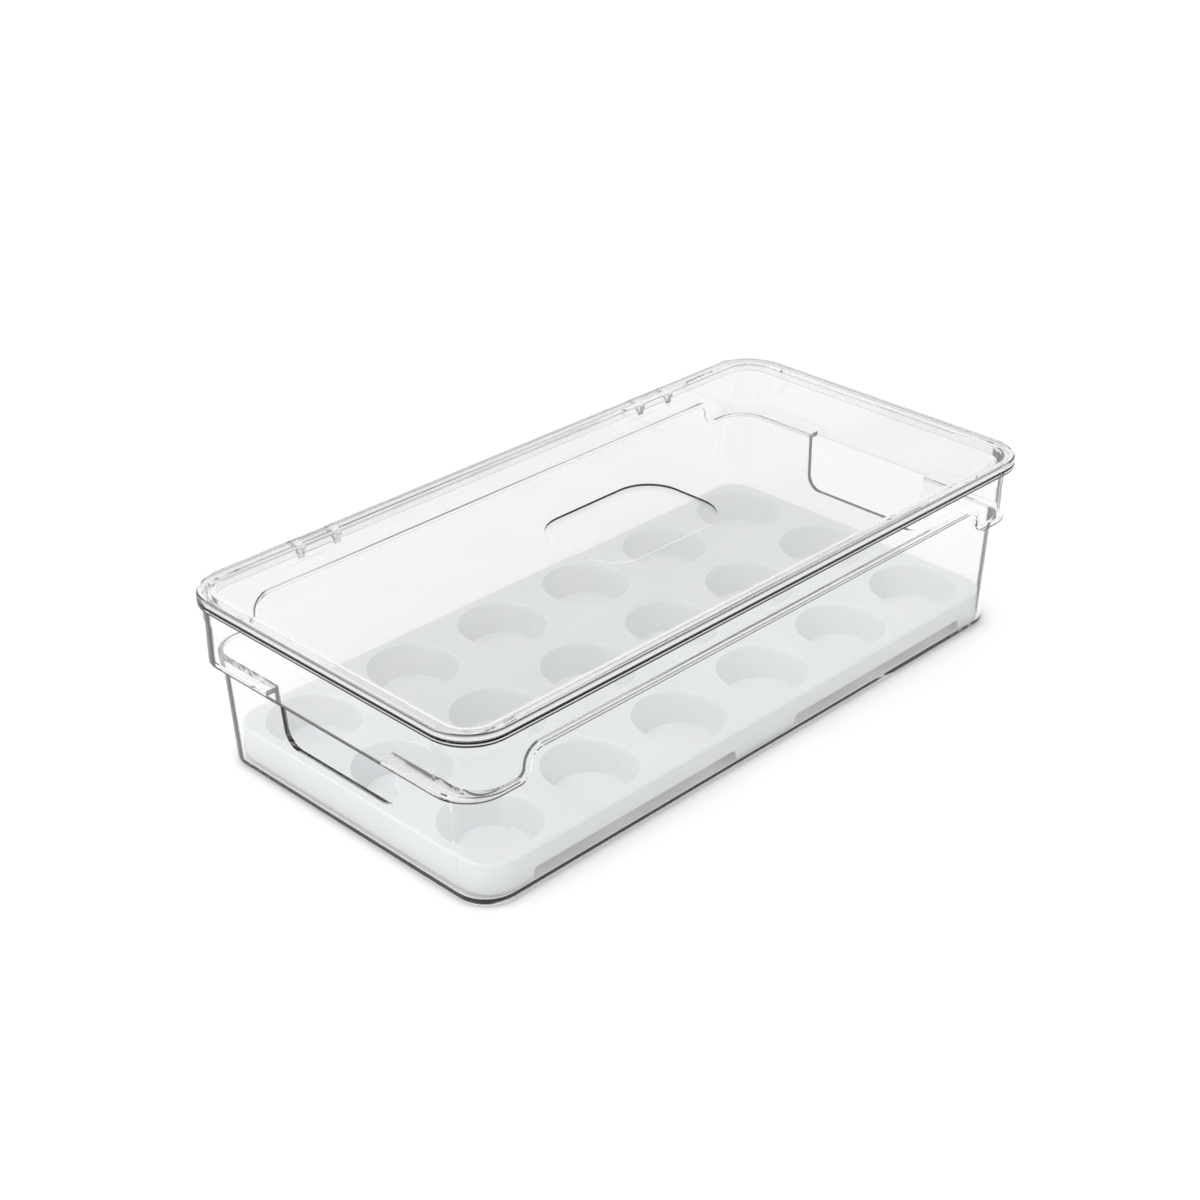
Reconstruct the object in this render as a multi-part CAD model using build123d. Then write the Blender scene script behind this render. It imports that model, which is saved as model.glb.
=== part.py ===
from build123d import *
import os

# Egg keeper with flip lid: a clear two-tier bin, a white egg tray standing loose on its floor,
# and a clear lid that flips up on two snap hinges along the back. Millimetres. X runs along the
# keeper, the hinges are on the +Y side, +Z is up, and the origin is the centre of the underside.

# Rim: the outline that the bin's flange and the lid share
keeper_length = 320.0
keeper_width = 159.0
rim_corner_radius = 18.3
seat_height = 73.2
flange_thickness = 2.0
flange_bevel = 0.3
rim_band_height = 7.7
rim_band_step = 0.4

# Bin walls, as distances drawn in from the rim outline
wall = 2.1
floor_thickness = 2.2
upper_end_inset = 1.7
upper_side_inset = 2.8
upper_corner_radius = 16.1
lower_top_end_inset = 7.5
lower_top_side_inset = 4.2
base_end_inset = 10.5
base_side_inset = 4.7
lower_corner_radius = 14.1
base_edge_radius = 2.0
floor_edge_radius = 1.0

# Ledge between the tiers: low round the ends, rising in an S to a high step along the sides
ledge_height = 47.5
side_step_rise = 11.0
side_step_margin = 32.0

# Hand grip through each end, under the ledge
grip_bottom = 24.0
grip_top_width = 64.0
grip_bottom_width = 61.0
grip_corner_radius = 7.0

# Lid
lid_thickness = 2.5
lid_gap = 0.3
lid_edge_radius = 1.4
lid_under_bevel = 0.3
lip_inset = 5.5
lip_thickness = 1.6
lip_depth = 3.0
pad_length = 68.0
pad_width = 47.0
pad_corner_radius = 16.0
pad_depth = 1.0
pad_shift_x = -3.9
pad_shift_y = -4.6

# Snap hinges: a lid arm with a pin on each side, held between two ears on the bin
hinge_offset = 2.8
hinge_drop = 2.5
hinge_radius = 1.8
hinge_spacing = 190.0
pin_radius = 1.0
pin_clearance = 0.06
arm_width = 14.0
arm_thickness = 1.2
ear_width = 3.0
ear_gap = 0.4
ear_root_drop = 7.2

# Egg tray: its outline follows the bin's floor with these gaps to the walls
tray_end_gap = 1.9
tray_side_gap = 0.5
tray_seat_gap = 0.2
tray_corner_radius = 12.0
tray_edge_bevel = 0.7
tray_wall = 1.5
tray_rise = 13.4
skirt_lift = 0.5

# Cups: the outer ones keep these distances from the tray's edges to their centres
cup_columns = 6
cup_rows = 3
cup_end_margin = 22.8
cup_side_margin = 23.2
cup_opening_radius = 18.7
cup_floor_radius = 14.2
cup_floor_thickness = 1.4

# Arches in the tray's skirt, two along each side
arch_rise = 5.0
arch_middle_leg = 36.0
arch_end_leg = 21.0
arch_slant = 3.0
arch_corner_radius = 2.0

# Worked out from the sizes above
side_step_height = ledge_height + side_step_rise
side_step_reach = keeper_length / 2 - side_step_margin
lid_bottom = seat_height + lid_gap
tray_bottom = floor_thickness + tray_seat_gap
deck_height = tray_bottom + tray_rise
tray_length = keeper_length - 2 * (base_end_inset + wall + tray_end_gap)
tray_width = keeper_width - 2 * (base_side_inset + wall + tray_side_gap)
cup_pitch_x = (tray_length - 2 * cup_end_margin) / (cup_columns - 1)
cup_pitch_y = (tray_width - 2 * cup_side_margin) / (cup_rows - 1)
hinge_y = keeper_width / 2 + hinge_offset
hinge_z = seat_height - hinge_drop
hinge_centres = (-hinge_spacing / 2, hinge_spacing / 2)


def raised(plan, bottom, top):
    """Upright solid on a plan, between two heights."""
    return Pos(0, 0, bottom) * extrude(plan, top - bottom)


def rim_plan(inset):
    """Plan of the rim's outline, drawn in by inset."""
    length = keeper_length - 2 * inset
    width = keeper_width - 2 * inset
    return RectangleRounded(length, width, rim_corner_radius - inset)


def upper_plan(inset):
    """Plan of the upper tier's outer face, drawn in by inset."""
    length = keeper_length - 2 * (upper_end_inset + inset)
    width = keeper_width - 2 * (upper_side_inset + inset)
    return RectangleRounded(length, width, upper_corner_radius - inset)


def tapered_sides(base_half, top_half, bottom):
    """Upright trapezium with the lower tier's slope, from bottom to just past the high step."""
    slope = (top_half - base_half) / ledge_height
    top = side_step_height + wall
    low = base_half + slope * bottom
    high = base_half + slope * top
    return make_face(Polyline((-low, bottom), (low, bottom), (high, top), (-high, top), close=True))


def lower_block(inset, bottom, edge_radius):
    """Tapered lower tier, drawn in by inset, with rounded corners and a rounded bottom edge."""
    half_length = keeper_length / 2 - inset
    half_width = keeper_width / 2 - inset
    front = tapered_sides(half_length - base_end_inset, half_length - lower_top_end_inset, bottom)
    end = tapered_sides(half_width - base_side_inset, half_width - lower_top_side_inset, bottom)
    block = extrude(Plane.XZ * front, keeper_width, both=True)
    block &= extrude(Plane.YZ * end, keeper_length, both=True)
    level = block.edges().group_by(Axis.Z)
    corners = [e for e in block.edges() if e not in level[0] and e not in level[-1]]
    block = fillet(corners, lower_corner_radius - inset)
    return fillet(block.edges().group_by(Axis.Z)[0], edge_radius)


def under_step(inset):
    """Everything below the ledge line, whose S is two quarter arcs that meet on the upright."""
    low = ledge_height + inset
    high = side_step_height + inset
    middle = (ledge_height + side_step_height) / 2
    step_x = side_step_reach + inset
    crest_radius = high - middle
    dip_radius = middle - low
    diagonal = 1 - 0.5**0.5
    crest = (step_x - crest_radius * diagonal, high - crest_radius * diagonal)
    dip = (step_x + dip_radius * diagonal, low + dip_radius * diagonal)
    half = [
        Line((0, high), (step_x - crest_radius, high)),
        ThreePointArc((step_x - crest_radius, high), crest, (step_x, middle)),
        ThreePointArc((step_x, middle), dip, (step_x + dip_radius, low)),
        Polyline((step_x + dip_radius, low), (keeper_length, low), (keeper_length, 0), (0, 0)),
    ]
    outline = half + [mirror(curve, Plane.YZ) for curve in half]
    return extrude(Plane.XZ * make_face(outline), keeper_width, both=True)


def tier_body(inset, bottom, edge_radius):
    """Solid two-tier body up to the seat, its walls and ledges drawn in by inset."""
    upper = raised(upper_plan(inset), ledge_height - 1, seat_height) - under_step(inset)
    return lower_block(inset, bottom, edge_radius) + upper


def make_bin():
    """Clear bin: tapered lower tier, ledge, upper tier, rim flange, hand grips and hinge ears."""
    body = tier_body(0, 0, base_edge_radius)
    body += raised(upper_plan(-rim_band_step), seat_height - rim_band_height, seat_height)
    flange = raised(rim_plan(0), seat_height - flange_thickness, seat_height)
    flange = chamfer(flange.edges().group_by(Axis.Z)[0], flange_bevel)
    body += chamfer(flange.edges().group_by(Axis.Z)[-1], flange_bevel)
    body -= tier_body(wall, floor_thickness, floor_edge_radius)
    for end in (-1, 1):
        body -= grip_cut(end)
    for centre in hinge_centres:
        for side in (-1, 1):
            body += hinge_ear(centre + side * (arm_width / 2 + ear_gap), side)
    return body


def grip_cut(end):
    """Cutter for one hand grip: it opens the end wall and the ledge, up to the upper tier."""
    top = ledge_height + 2 * wall
    outline = make_face(Polyline(
        (-grip_bottom_width / 2, grip_bottom),
        (grip_bottom_width / 2, grip_bottom),
        (grip_top_width / 2, top),
        (-grip_top_width / 2, top),
        (-grip_bottom_width / 2, grip_bottom),
    ))
    outline = fillet(outline.vertices().group_by(Axis.Y)[0], grip_corner_radius)
    outer_x = keeper_length / 2 - upper_end_inset - wall
    inner_x = keeper_length / 2 - base_end_inset - 2 * wall
    cutter = Pos(inner_x, 0, 0) * extrude(Plane.YZ * outline, outer_x - inner_x)
    return cutter if end > 0 else mirror(cutter, Plane.YZ)


def along_hinge(profile, start, width, side):
    """Extrude a profile drawn about the hinge line, from start, towards one side."""
    first = start if side > 0 else start - width
    return Pos(first, hinge_y, hinge_z) * extrude(Plane.YZ * profile, width)


def hinge_ear(x, side):
    """Ear under the bin's flange, with the hole that the lid's pin snaps into."""
    root = -hinge_offset - upper_side_inset + rim_band_step - wall / 4
    web = make_face(Polyline(
        (-hinge_radius * 0.8, -hinge_radius * 0.6),
        (root, hinge_drop - ear_root_drop),
        (root, hinge_drop - flange_thickness / 2),
        (-hinge_radius * 0.3, hinge_radius * 0.95),
        (-hinge_radius * 0.8, -hinge_radius * 0.6),
    ))
    profile = Circle(hinge_radius) + web - Circle(pin_radius + pin_clearance)
    return along_hinge(profile, x, ear_width, side)


def hinge_arm(x):
    """Lid arm over the flange's edge, ending in a round eye with a pin on each side."""
    under = lid_bottom - hinge_z
    web = make_face(Polyline(
        (-hinge_offset - wall, under),
        (-hinge_offset, under),
        (-hinge_radius * 0.6, hinge_radius * 0.55),
        (hinge_radius * 0.2, hinge_radius * 0.97),
        (-hinge_offset, under + arm_thickness),
        (-hinge_offset - wall, under + arm_thickness),
        (-hinge_offset - wall, under),
    ))
    arm = along_hinge(Circle(hinge_radius) + web, x - arm_width / 2, arm_width, 1)
    pin_length = arm_width + 2 * (ear_gap + ear_width)
    return arm + along_hinge(Circle(pin_radius), x - pin_length / 2, pin_length, 1)


def make_lid():
    """Clear lid: flat plate with a rounded edge, a shallow pad, a locating lip and two arms."""
    top = lid_bottom + lid_thickness
    lid = raised(rim_plan(0), lid_bottom, top)
    lid = fillet(lid.edges().group_by(Axis.Z)[-1], lid_edge_radius)
    lid = chamfer(lid.edges().group_by(Axis.Z)[0], lid_under_bevel)
    pad = RectangleRounded(pad_length, pad_width, pad_corner_radius)
    lid -= Pos(pad_shift_x, pad_shift_y) * raised(pad, top - pad_depth, top + 1)
    lip = rim_plan(lip_inset) - rim_plan(lip_inset + lip_thickness)
    lid += raised(lip, seat_height - lip_depth, lid_bottom)
    for centre in hinge_centres:
        lid += hinge_arm(centre)
    return lid


def tray_arch(start, end, side):
    """Cutter for one low arch in the tray's skirt, its ends leaning outwards to the floor."""
    top = tray_bottom + arch_rise
    outline = make_face(Polyline(
        (start - arch_slant / 2, 0),
        (end + arch_slant / 2, 0),
        (end, top),
        (start, top),
        (start - arch_slant / 2, 0),
    ))
    outline = fillet(outline.vertices().group_by(Axis.Y)[-1], arch_corner_radius)
    cutter = extrude(Plane.XZ * outline, 2 * tray_wall, both=True)
    return Pos(0, side * tray_width / 2, 0) * cutter


def make_tray():
    """Egg tray: a flat deck with a skirt, arches along its sides and a cup for each egg."""
    foot = tray_bottom + skirt_lift
    plan = RectangleRounded(tray_length, tray_width, tray_corner_radius)
    tray = raised(plan, foot, deck_height)
    tray = chamfer(tray.edges().group_by(Axis.Z)[-1], tray_edge_bevel)
    tray -= raised(offset(plan, -tray_wall), foot, deck_height - tray_wall)
    arch_start = arch_middle_leg / 2
    arch_end = tray_length / 2 - arch_end_leg
    for side in (-1, 1):
        tray -= tray_arch(arch_start, arch_end, side)
        tray -= tray_arch(-arch_end, -arch_start, side)
    cup_floor = tray_bottom + cup_floor_thickness
    bowl = cup_cone(tray_wall, tray_bottom, deck_height - tray_wall / 2)
    cup = cup_cone(0, cup_floor, deck_height)
    places = GridLocations(cup_pitch_x, cup_pitch_y, cup_columns, cup_rows)
    for place in places:
        tray += place * bowl
    for place in places:
        tray -= place * cup
    return tray


def cup_cone(growth, bottom, top):
    """Tapered round body of one cup about the origin, grown outwards."""
    floor_radius = cup_floor_radius + growth
    opening_radius = cup_opening_radius + growth
    standing = (Align.CENTER, Align.CENTER, Align.MIN)
    return Pos(0, 0, bottom) * Cone(floor_radius, opening_radius, top - bottom, align=standing)


os.makedirs("parts", exist_ok=True)
for name, solid in (("bin", make_bin()), ("tray", make_tray()), ("lid", make_lid())):
    export_step(solid, f"parts/{name}.step")
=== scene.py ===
import math

import bpy
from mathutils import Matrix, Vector


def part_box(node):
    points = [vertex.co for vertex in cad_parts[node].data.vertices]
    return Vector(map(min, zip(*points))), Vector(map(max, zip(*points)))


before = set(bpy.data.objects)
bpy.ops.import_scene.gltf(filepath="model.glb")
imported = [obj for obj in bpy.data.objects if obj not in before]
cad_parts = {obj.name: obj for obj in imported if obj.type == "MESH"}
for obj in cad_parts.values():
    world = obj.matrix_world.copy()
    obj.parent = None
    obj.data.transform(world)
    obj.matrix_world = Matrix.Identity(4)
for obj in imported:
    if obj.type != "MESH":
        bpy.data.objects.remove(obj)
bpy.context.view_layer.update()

# Lengths are in metres. X runs along the keeper, its hinges are on the +Y side, and +Z is up.
MM = 0.001

# Sizes that the frame gives. The half width is the near side's, which has no hinges.
half_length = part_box("bin")[1].x
half_width = -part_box("bin")[0].y
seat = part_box("bin")[1].z
lid_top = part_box("lid")[1].z

# Sizes that it doesn't give, as in the part's source
LID_THICKNESS = 2.5 * MM
PAD_DEPTH = 1 * MM
FLANGE_THICKNESS = 2 * MM
RIM_CORNER = 18.3 * MM
LEDGE_HEIGHT = 47.5 * MM
STEP_RISE = 11 * MM
STEP_MARGIN = 32 * MM

# The photograph's camera, with its turn in degrees and its lens in millimetres
CAMERA_PLACE = (-0.5509, -0.5263, 0.4565)
CAMERA_TURN = (61.2006, 0.1476, -45.4955)
CAMERA_LENS = 64.868
CAMERA_SENSOR = 36.0

# Softboxes: name, place, target, width, height, and power in watts
LAMPS = [
    ("key", (-0.5, 0.3, 1.5), (0, 0, 0), 1.2, 1.2, 7.5),
    ("fill", (0.1, -1.4, 0.7), (0, 0, 0.03), 0.8, 0.8, 1.2),
    ("kicker", (-1.2, -0.05, 0.05), (0, 0, 0.01), 1.0, 0.08, 2.4),
]

# World strength where it lights surfaces, and where gloss and clear parts show it. To those, it
# falls to the ceiling's level between two heights, where 0 is level and 1 is straight up.
LIGHTING_LEVEL = 0.77
MIRRORED_LEVEL = 0.85
CEILING_LEVEL = 0.03
CEILING_EDGE = (0.5, 0.7)

# Floor, a hair below the bin, so that the two don't share a plane. Its glow rises with distance
# from the keeper, and only rays that show the background see it.
FLOOR_SIZE = 12.0
FLOOR_GAP = 0.3 * MM
FLOOR_WHITE = (0.86, 0.86, 0.86, 1)
FLOOR_ROUGHNESS = 0.9
FLOOR_SPECULAR = 0.1
GLOW_REACH = (0.25, 1.2)
GLOW_LEVELS = (0.2, 0.9)

# The middle of a noise texture's range, which holds nearly all of it
NOISE_RANGE = (0.3, 0.7)

# Clear styrene. A face whose normal's Z is under the limit is upright.
STYRENE_IOR = 1.59
BIN_TINT = (0.972, 0.974, 0.974)
LID_TINT = (0.93, 0.932, 0.932)
# The black of the painted dark lines and corners, which stand in for dark surroundings seen in the
# plastic
PAINTED_LINE_BLACK = (0.0006, 0.0006, 0.0007)
WAVE_SCALE = 9.0
WAVE_ROUGHNESS = (0.0, 0.012)
UPRIGHT_LIMIT = 0.9

# Painted dark reflections on corners: corners are painted dark where they are seen edge-on, by a
# Layer Weight, and where they face
# the right way: by their normal's Y less X for the left one, and by Y plus X for the near and far
# ones
GRAZING_BLEND = 0.5
GRAZING_EDGE = (0.4, 0.47)
LEFT_CORNER = (1.02, 1.1)
NEAR_AND_FAR_CORNERS = (1.3, 1.34)

# What clear plastic takes from light on its way to other surfaces: little, and most at its foot
SHADE_TINT = (0.965, 0.968, 0.968)
FOOT_TINT = (0.1, 0.1, 0.1)
FOOT_HEIGHTS = (2 * MM, 3 * MM)

# Light that has bounced more often than this goes straight out of the lid anywhere, and out of
# the bin where X less Y is over a limit, which is the corner at the right of the photograph
TRAPPED_DEPTH = 7.5
ANYWHERE = -1.0
RIGHT_CORNER = 0.2

# Painted dark bands on outward edge faces, which stand in for dark surroundings seen in the
# plastic: lowest, highest, depth, and nearest and farthest in X from the middle. SLACK takes a band
# past its edge, and BEYOND is past the keeper's ends.
SLACK = 0.05 * MM
BEYOND = 0.2
flange_under = seat - FLANGE_THICKNESS
step_height = LEDGE_HEIGHT + STEP_RISE
step_reach = half_length - STEP_MARGIN
lid_under = lid_top - LID_THICKNESS
BIN_PAINTED_BANDS = [
    # The flange's edge: its top, and its lower half
    (seat - 0.5 * MM, seat + SLACK, 1.0, 0.0, BEYOND),
    (flange_under - SLACK, flange_under + 1.05 * MM, 1.0, 0.0, BEYOND),
    # The ledge: high along the sides, and low round the ends
    (step_height - SLACK, step_height + 0.6 * MM, 0.9, 0.0, step_reach - 6 * MM),
    (LEDGE_HEIGHT - SLACK, LEDGE_HEIGHT + 0.7 * MM, 0.97, step_reach + 4 * MM, BEYOND),
]
# The lid's edge: its bottom
LID_PAINTED_BANDS = [(lid_under - SLACK, lid_under + 0.5 * MM, 1.0, 0.0, BEYOND)]

# Painted dark line on the wall of the lid's pad, which stands in for dark surroundings seen in the
# plastic: its heights, and a reach that leaves out the lid's own edge
PAD_HEIGHTS = (lid_top - PAD_DEPTH - SLACK, lid_top + SLACK)
PAD_REACH = 60 * MM

# Painted dark line on the outermost strip of the rim's seat, which stands in for dark surroundings
# seen in the plastic: its width and its heights
SEAT_STRIP = 0.7 * MM
SEAT_HEIGHTS = (seat - 0.1 * MM, seat + 0.1 * MM)

# White polypropylene, mottled between two whites, with a fine grain
TRAY_WHITES = ((0.84, 0.842, 0.845), (0.88, 0.881, 0.883))
TRAY_ROUGHNESS = (0.36, 0.46)
TRAY_SUBSURFACE = 0.05
MOTTLE_SCALE = 30.0
GRAIN_SCALE = 1400.0
GRAIN_DETAIL = 2.0
GRAIN_STRENGTH = 0.12
GRAIN_DEPTH = 0.2 * MM

# Enough bounces for light to cross every clear wall on its way
WALL_BOUNCES = 24
STRAIGHT_THROUGH_BOUNCES = 32


def node_material(name):
    """A material with only a Principled shader and its output, and the parts to build on."""
    material = bpy.data.materials.new(name)
    material.use_nodes = True
    tree = material.node_tree
    return material, tree, tree.nodes["Principled BSDF"]


def feed(tree, socket, value):
    """Set a socket from a number or from another node's output."""
    if isinstance(value, (int, float)):
        socket.default_value = value
    else:
        tree.links.new(value, socket)


def maths(tree, operation, first, second=0.0):
    """Output of a Math node."""
    made = tree.nodes.new("ShaderNodeMath")
    made.operation = operation
    feed(tree, made.inputs[0], first)
    feed(tree, made.inputs[1], second)
    return made.outputs[0]


def ramp(tree, source, from_range, to_range):
    """Map a range of a value onto another, held at its ends."""
    made = tree.nodes.new("ShaderNodeMapRange")
    made.inputs["From Min"].default_value, made.inputs["From Max"].default_value = from_range
    made.inputs["To Min"].default_value, made.inputs["To Max"].default_value = to_range
    tree.links.new(source, made.inputs["Value"])
    return made.outputs["Result"]


def colours(tree, source, low, high):
    """Blend between two colours as a value goes from 0 to 1."""
    made = tree.nodes.new("ShaderNodeMix")
    made.data_type = "RGBA"
    tree.links.new(source, made.inputs["Factor"])
    made.inputs["A"].default_value = (*low, 1)
    made.inputs["B"].default_value = (*high, 1)
    return made.outputs["Result"]


def noise(tree, scale, detail=3.0):
    """Noise in object space, so that it stays on the piece as it moves."""
    place = tree.nodes.new("ShaderNodeTexCoord")
    made = tree.nodes.new("ShaderNodeTexNoise")
    made.inputs["Scale"].default_value = scale
    made.inputs["Detail"].default_value = detail
    tree.links.new(place.outputs["Object"], made.inputs["Vector"])
    return made.outputs["Fac"]


def bump(tree, shader, source, strength, distance):
    """Raise a shader's surface by a value."""
    made = tree.nodes.new("ShaderNodeBump")
    made.inputs["Strength"].default_value = strength
    made.inputs["Distance"].default_value = distance
    tree.links.new(source, made.inputs["Height"])
    tree.links.new(made.outputs["Normal"], shader.inputs["Normal"])


def between(tree, value, low, high):
    """1 between two values, else 0."""
    above = maths(tree, "GREATER_THAN", value, low)
    below = maths(tree, "LESS_THAN", value, high)
    return maths(tree, "MULTIPLY", above, below)


def split(tree, source):
    """X, Y and Z of a vector."""
    made = tree.nodes.new("ShaderNodeSeparateXYZ")
    tree.links.new(source, made.inputs[0])
    return made.outputs


def surface(tree, output):
    """Make a shader the material's surface."""
    tree.links.new(output, tree.nodes["Material Output"].inputs["Surface"])


def painted_edge_bands(tree, point, facing, painted_bands):
    """How dark a point is painted, in place of dark surroundings seen in the plastic, for lying in
    a band on an outward face.
    """
    along = maths(tree, "MULTIPLY", point["X"], facing["X"])
    across = maths(tree, "MULTIPLY", point["Y"], facing["Y"])
    outward = maths(tree, "GREATER_THAN", maths(tree, "ADD", along, across), 0.0)
    reach = maths(tree, "ABSOLUTE", point["X"])
    total = 0.0
    for low, high, depth, nearest, farthest in painted_bands:
        band = between(tree, point["Z"], low, high)
        span = between(tree, reach, nearest, farthest)
        band = maths(tree, "MULTIPLY", maths(tree, "MULTIPLY", band, span), depth)
        total = maths(tree, "ADD", band, total)
    return maths(tree, "MULTIPLY", outward, total)


def pad_wall_painted_line(tree, point):
    """1 on the wall round the lid's pad, where a dark line is painted in place of dark surroundings
    seen in the plastic, else 0.
    """
    along = maths(tree, "ABSOLUTE", point["X"])
    across = maths(tree, "ABSOLUTE", point["Y"])
    inner = maths(tree, "LESS_THAN", maths(tree, "MAXIMUM", along, across), PAD_REACH)
    return maths(tree, "MULTIPLY", between(tree, point["Z"], *PAD_HEIGHTS), inner)


def seat_painted_line(tree, point):
    """1 on the outermost strip of the rim's seat, round its corners too, where a dark line is
    painted, else 0.
    """
    squares = 0.0
    for axis, half in (("X", half_length), ("Y", half_width)):
        past = maths(tree, "SUBTRACT", maths(tree, "ABSOLUTE", point[axis]), half - RIM_CORNER)
        past = maths(tree, "MAXIMUM", past, 0.0)
        squares = maths(tree, "ADD", maths(tree, "MULTIPLY", past, past), squares)
    distance = maths(tree, "SQRT", squares)
    outermost = maths(tree, "GREATER_THAN", distance, RIM_CORNER - SEAT_STRIP)
    return maths(tree, "MULTIPLY", outermost, between(tree, point["Z"], *SEAT_HEIGHTS))


def corner_painted_reflections(tree, facing):
    """How dark a point is painted, as a dark reflection, for lying on the left, near or far corner,
    seen edge-on.
    """
    weight = tree.nodes.new("ShaderNodeLayerWeight")
    weight.inputs["Blend"].default_value = GRAZING_BLEND
    grazing = ramp(tree, weight.outputs["Facing"], GRAZING_EDGE, (0.0, 1.0))
    left = maths(tree, "SUBTRACT", facing["Y"], facing["X"])
    left = ramp(tree, left, LEFT_CORNER, (0.0, 1.0))
    others = maths(tree, "ABSOLUTE", maths(tree, "ADD", facing["Y"], facing["X"]))
    others = ramp(tree, others, NEAR_AND_FAR_CORNERS, (0.0, 1.0))
    return maths(tree, "MULTIPLY", grazing, maths(tree, "MAXIMUM", left, others))


def passes_light(tree, point, lets_out):
    """1 on rays that go straight through: those that light other things, and trapped ones."""
    rays = tree.nodes.new("ShaderNodeLightPath")
    lighting = maths(tree, "MAXIMUM", rays.outputs["Is Shadow Ray"], rays.outputs["Is Diffuse Ray"])
    trapped = maths(tree, "GREATER_THAN", rays.outputs["Ray Depth"], TRAPPED_DEPTH)
    rightward = maths(tree, "SUBTRACT", point["X"], point["Y"])
    there = maths(tree, "GREATER_THAN", rightward, lets_out)
    return maths(tree, "MAXIMUM", lighting, maths(tree, "MULTIPLY", trapped, there))


def clear_plastic(name, tint, painted_bands, lets_out, has_pad):
    """Clear styrene: polished and faintly wavy, with dark edge lines painted into its colour, which
    stand in for dark surroundings seen in the plastic.
    """
    material, tree, shader = node_material(name)
    place = tree.nodes.new("ShaderNodeTexCoord")
    point = split(tree, place.outputs["Object"])
    facing = split(tree, place.outputs["Normal"])
    upright = maths(tree, "LESS_THAN", maths(tree, "ABSOLUTE", facing["Z"]), UPRIGHT_LIMIT)
    shader.inputs["Transmission Weight"].default_value = 1.0
    shader.inputs["IOR"].default_value = STYRENE_IOR
    wave = ramp(tree, noise(tree, WAVE_SCALE), NOISE_RANGE, WAVE_ROUGHNESS)
    tree.links.new(wave, shader.inputs["Roughness"])

    # Painted shade: dark lines and corner reflections painted into the base colour
    painted_darkness = painted_edge_bands(tree, point, facing, painted_bands)
    if has_pad:
        painted_darkness = maths(tree, "MAXIMUM", painted_darkness, pad_wall_painted_line(tree, point))
    painted_darkness = maths(tree, "MAXIMUM", corner_painted_reflections(tree, facing), painted_darkness)
    painted_darkness = maths(tree, "MULTIPLY", painted_darkness, upright)
    painted_darkness = maths(tree, "MAXIMUM", painted_darkness, seat_painted_line(tree, point))
    colour = colours(tree, painted_darkness, tint, PAINTED_LINE_BLACK)
    tree.links.new(colour, shader.inputs["Base Color"])

    through = tree.nodes.new("ShaderNodeBsdfTransparent")
    foot = maths(tree, "MULTIPLY", ramp(tree, point["Z"], FOOT_HEIGHTS, (1.0, 0.0)), upright)
    tree.links.new(colours(tree, foot, SHADE_TINT, FOOT_TINT), through.inputs["Color"])
    either = tree.nodes.new("ShaderNodeMixShader")
    tree.links.new(passes_light(tree, point, lets_out), either.inputs[0])
    tree.links.new(shader.outputs[0], either.inputs[1])
    tree.links.new(through.outputs[0], either.inputs[2])
    surface(tree, either.outputs[0])
    return material


def white_plastic(name):
    """Satin white polypropylene with a fine moulded grain."""
    material, tree, shader = node_material(name)
    mottle = ramp(tree, noise(tree, MOTTLE_SCALE), NOISE_RANGE, (0.0, 1.0))
    tree.links.new(colours(tree, mottle, *TRAY_WHITES), shader.inputs["Base Color"])
    tree.links.new(ramp(tree, mottle, (0.0, 1.0), TRAY_ROUGHNESS), shader.inputs["Roughness"])
    shader.inputs["Subsurface Weight"].default_value = TRAY_SUBSURFACE
    bump(tree, shader, noise(tree, GRAIN_SCALE, GRAIN_DETAIL), GRAIN_STRENGTH, GRAIN_DEPTH)
    return material


def give(node, material):
    """Make a material the only one on a CAD node."""
    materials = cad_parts[node].data.materials
    materials.clear()
    materials.append(material)


def backdrop_rays(tree):
    """1 on rays that show the background: from the camera, by gloss or through clear parts."""
    rays = tree.nodes.new("ShaderNodeLightPath")
    seen = maths(tree, "MAXIMUM", rays.outputs["Is Camera Ray"], rays.outputs["Is Glossy Ray"])
    return maths(tree, "MAXIMUM", seen, rays.outputs["Is Transmission Ray"])


def make_floor():
    """White floor that keeps the shadow near the keeper and fades into the background."""
    bpy.ops.mesh.primitive_plane_add(size=FLOOR_SIZE, location=(0, 0, -FLOOR_GAP))
    floor = bpy.context.object
    floor.name = "floor"
    material, tree, shader = node_material("floor")
    shader.inputs["Base Color"].default_value = FLOOR_WHITE
    shader.inputs["Roughness"].default_value = FLOOR_ROUGHNESS
    shader.inputs["Specular IOR Level"].default_value = FLOOR_SPECULAR
    place = tree.nodes.new("ShaderNodeTexCoord")
    length = tree.nodes.new("ShaderNodeVectorMath")
    length.operation = "LENGTH"
    tree.links.new(place.outputs["Object"], length.inputs[0])
    rise = ramp(tree, length.outputs["Value"], GLOW_REACH, GLOW_LEVELS)
    glow = tree.nodes.new("ShaderNodeEmission")
    tree.links.new(maths(tree, "MULTIPLY", backdrop_rays(tree), rise), glow.inputs["Strength"])
    total = tree.nodes.new("ShaderNodeAddShader")
    tree.links.new(shader.outputs[0], total.inputs[0])
    tree.links.new(glow.outputs[0], total.inputs[1])
    surface(tree, total.outputs[0])
    floor.data.materials.append(material)


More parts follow.
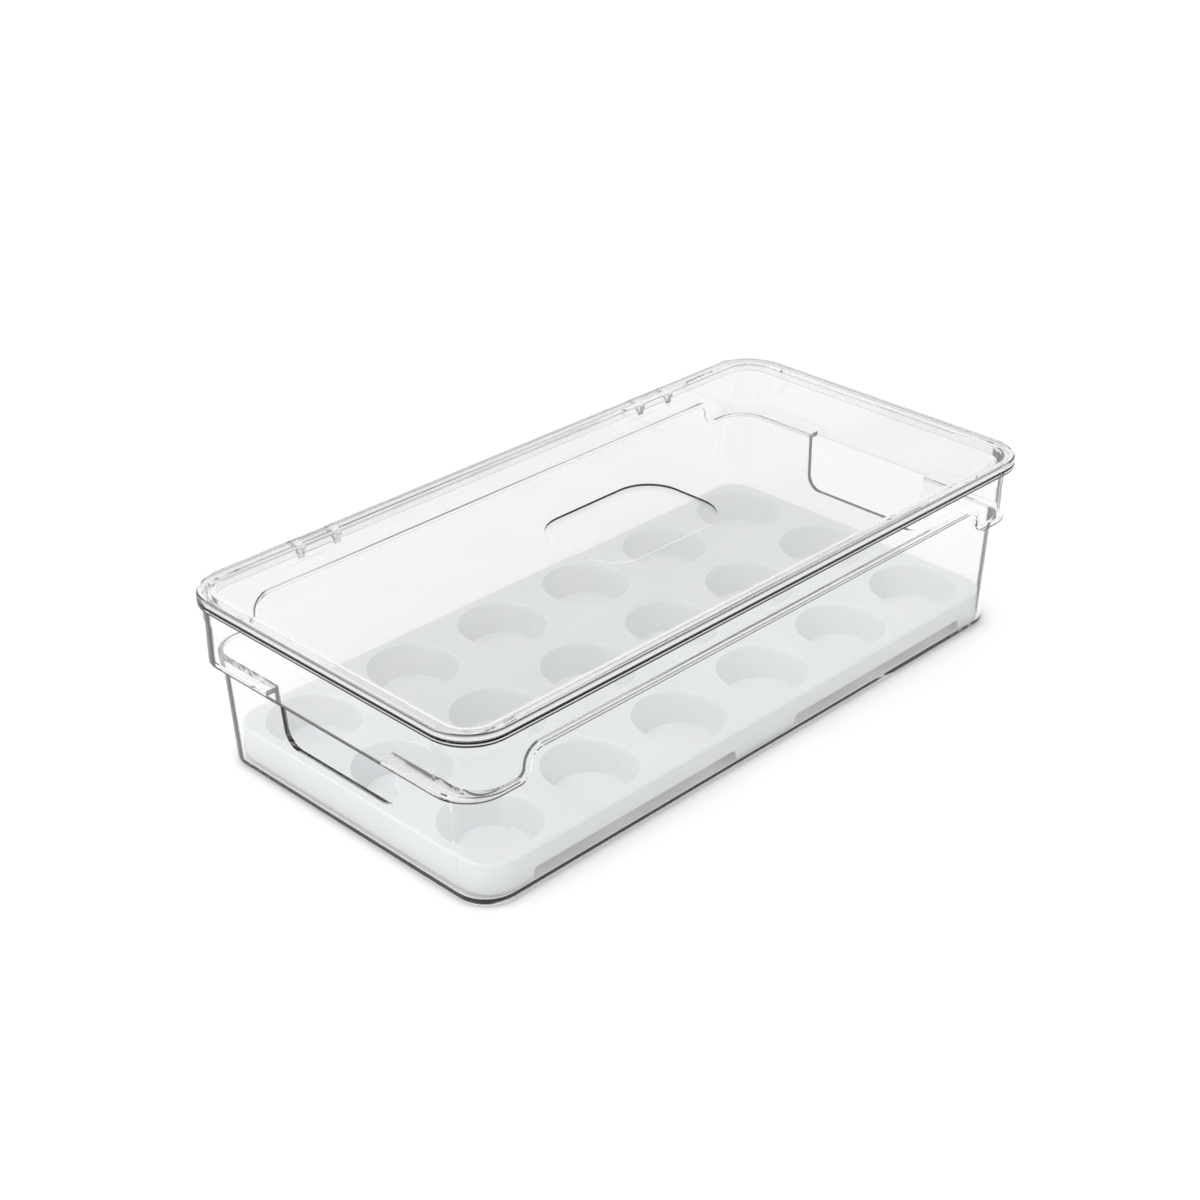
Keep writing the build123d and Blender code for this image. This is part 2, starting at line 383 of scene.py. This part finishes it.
def make_world():
    """White studio, greyer where it lights, and dark overhead to gloss and clear parts."""
    world = bpy.data.worlds.new("studio")
    bpy.context.scene.world = world
    world.use_nodes = True
    tree = world.node_tree
    place = tree.nodes.new("ShaderNodeTexCoord")
    height = split(tree, place.outputs["Generated"])["Z"]
    ceiling = ramp(tree, height, CEILING_EDGE, (MIRRORED_LEVEL, CEILING_LEVEL))
    rays = tree.nodes.new("ShaderNodeLightPath")
    level = maths(tree, "MAXIMUM", rays.outputs["Is Camera Ray"], ceiling)
    shown = tree.nodes.new("ShaderNodeMix")
    shown.inputs["A"].default_value = LIGHTING_LEVEL
    tree.links.new(backdrop_rays(tree), shown.inputs["Factor"])
    tree.links.new(level, shown.inputs["B"])
    sky = tree.nodes["Background"]
    sky.inputs["Color"].default_value = (1, 1, 1, 1)
    tree.links.new(shown.outputs["Result"], sky.inputs["Strength"])


def softbox(name, place, target, width, height, power):
    """Area lamp at a place, aimed at a target."""
    data = bpy.data.lights.new(name, "AREA")
    data.shape = "RECTANGLE"
    data.size = width
    data.size_y = height
    data.energy = power
    lamp = bpy.data.objects.new(name, data)
    lamp.location = place
    lamp.rotation_euler = (Vector(target) - Vector(place)).to_track_quat("-Z", "Y").to_euler()
    bpy.context.collection.objects.link(lamp)


def make_camera():
    """The photograph's camera."""
    data = bpy.data.cameras.new("camera")
    data.lens = CAMERA_LENS
    data.sensor_width = CAMERA_SENSOR
    camera = bpy.data.objects.new("camera", data)
    camera.location = CAMERA_PLACE
    camera.rotation_euler = [math.radians(angle) for angle in CAMERA_TURN]
    bpy.context.collection.objects.link(camera)
    bpy.context.scene.camera = camera


give("bin", clear_plastic("clear_bin", BIN_TINT, BIN_PAINTED_BANDS, RIGHT_CORNER, has_pad=False))
give("lid", clear_plastic("clear_lid", LID_TINT, LID_PAINTED_BANDS, ANYWHERE, has_pad=True))
give("tray", white_plastic("white_tray"))

make_floor()
make_world()
for lamp in LAMPS:
    softbox(*lamp)
make_camera()

scene = bpy.context.scene
scene.view_settings.view_transform = "Standard"
scene.cycles.max_bounces = WALL_BOUNCES
scene.cycles.transmission_bounces = WALL_BOUNCES
scene.cycles.glossy_bounces = WALL_BOUNCES
scene.cycles.transparent_max_bounces = STRAIGHT_THROUGH_BOUNCES
